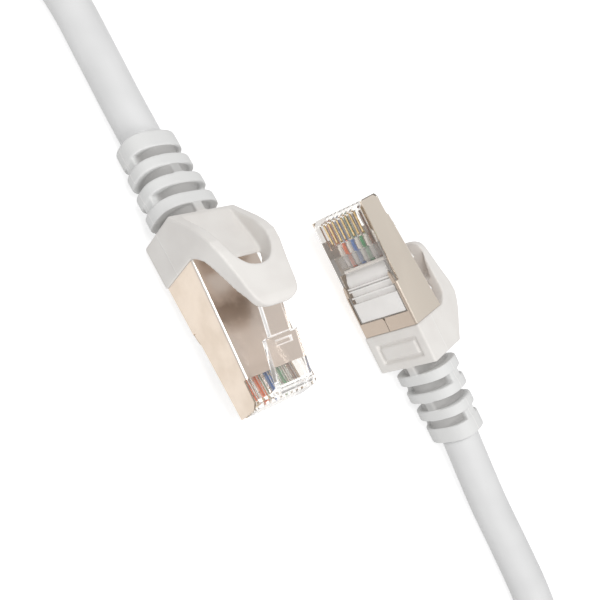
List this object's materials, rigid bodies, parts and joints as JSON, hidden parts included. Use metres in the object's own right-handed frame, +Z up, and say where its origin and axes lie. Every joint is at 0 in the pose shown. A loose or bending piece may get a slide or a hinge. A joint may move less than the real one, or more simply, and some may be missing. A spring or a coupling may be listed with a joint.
{
  "type": "ethernet patch cable",
  "caption": "Short shielded network patch lead with clear modular plugs, latches under springy guards, soft boots with ribbed strain reliefs, laid in one loose loop.",
  "frame": {"origin": "middle of the two plugs' box, at its base, on the surface the lead lies on", "axes": "+Z up; +Y along the longer side of the two plugs' box; plug A's nose points towards -Y and plug B's towards +Y"},
  "size_m": [0.1149, 0.1649, 0.0176],
  "materials": {
    "clear_housing": "clear moulded polycarbonate",
    "clear_insert": "slightly cloudy clear plastic",
    "white_insert": "white glossy plastic",
    "plated_shield": "nickel-plated sheet, satin, slightly warm",
    "gold_contact": "gold-plated",
    "foil": "creased foil",
    "braid": "woven tinned copper",
    "boot": "light grey soft PVC, matte",
    "jacket": "light grey PVC, satin",
    "wire_1": "orange and white insulation",
    "wire_2": "orange insulation",
    "wire_3": "green and white insulation",
    "wire_4": "blue insulation",
    "wire_5": "blue and white insulation",
    "wire_6": "green insulation",
    "wire_7": "brown and white insulation",
    "wire_8": "brown insulation"
  },
  "bodies": {
    "lead": {"housing_a": "clear_housing", "shield_a": "plated_shield", "load_bar_a": "clear_insert", "inner_mould_a": "white_insert", "foil_a": "foil", "braid_a": "braid", "crimp_ring_a": "plated_shield", "boot_a": "boot", "jacket_end_a": "jacket", "housing_b": "clear_housing", "shield_b": "plated_shield", "load_bar_b": "clear_insert", "inner_mould_b": "white_insert", "foil_b": "foil", "braid_b": "braid", "crimp_ring_b": "plated_shield", "boot_b": "boot", "jacket_end_b": "jacket", "contact_1_a": "gold_contact", "contact_2_a": "gold_contact", "contact_3_a": "gold_contact", "contact_4_a": "gold_contact", "contact_5_a": "gold_contact", "contact_6_a": "gold_contact", "contact_7_a": "gold_contact", "contact_8_a": "gold_contact", "contact_1_b": "gold_contact", "contact_2_b": "gold_contact", "contact_3_b": "gold_contact", "contact_4_b": "gold_contact", "contact_5_b": "gold_contact", "contact_6_b": "gold_contact", "contact_7_b": "gold_contact", "contact_8_b": "gold_contact", "wire_1_a": "wire_1", "wire_2_a": "wire_2", "wire_3_a": "wire_3", "wire_4_a": "wire_4", "wire_5_a": "wire_5", "wire_6_a": "wire_6", "wire_7_a": "wire_7", "wire_8_a": "wire_8", "wire_1_b": "wire_1", "wire_2_b": "wire_2", "wire_3_b": "wire_3", "wire_4_b": "wire_4", "wire_5_b": "wire_5", "wire_6_b": "wire_6", "wire_7_b": "wire_7", "wire_8_b": "wire_8", "cable": "jacket"},
    "latch_a": {"latch_a": "clear_housing"},
    "guard_a": {"guard_a": "boot"},
    "latch_b": {"latch_b": "clear_housing"},
    "guard_b": {"guard_b": "boot"}
  },
  "joints": [
    {"name": "latch_a_press", "type": "hinge", "parent": "lead", "child": "latch_a", "pos_m": [-0.01527, -0.01445, 0.01166], "axis": [-0.9848, -0.1736, 0], "range_deg": [0, 10], "stiffness_Nm_per_rad": 0.02},
    {"name": "guard_a_flex", "type": "hinge", "parent": "lead", "child": "guard_a", "pos_m": [-0.01912, 0.00735, 0.01077], "axis": [0.9848, 0.1736, 0], "range_deg": [0, 14], "stiffness_Nm_per_rad": 0.02},
    {"name": "latch_b_press", "type": "hinge", "parent": "lead", "child": "latch_b", "pos_m": [0.01053, 0.01399, 0.01067], "axis": [-0.0487, 0.1304, -0.9903], "range_deg": [0, 10], "stiffness_Nm_per_rad": 0.02},
    {"name": "guard_b_flex", "type": "hinge", "parent": "lead", "child": "guard_b", "pos_m": [0.02024, -0.00569, 0.0076], "axis": [0.0487, -0.1304, 0.9903], "range_deg": [0, 14], "stiffness_Nm_per_rad": 0.02}
  ],
  "couplings": [
    {"joint": "guard_a_flex", "follows": "latch_a_press", "ratio": 1.35},
    {"joint": "guard_b_flex", "follows": "latch_b_press", "ratio": 1.35}
  ]
}
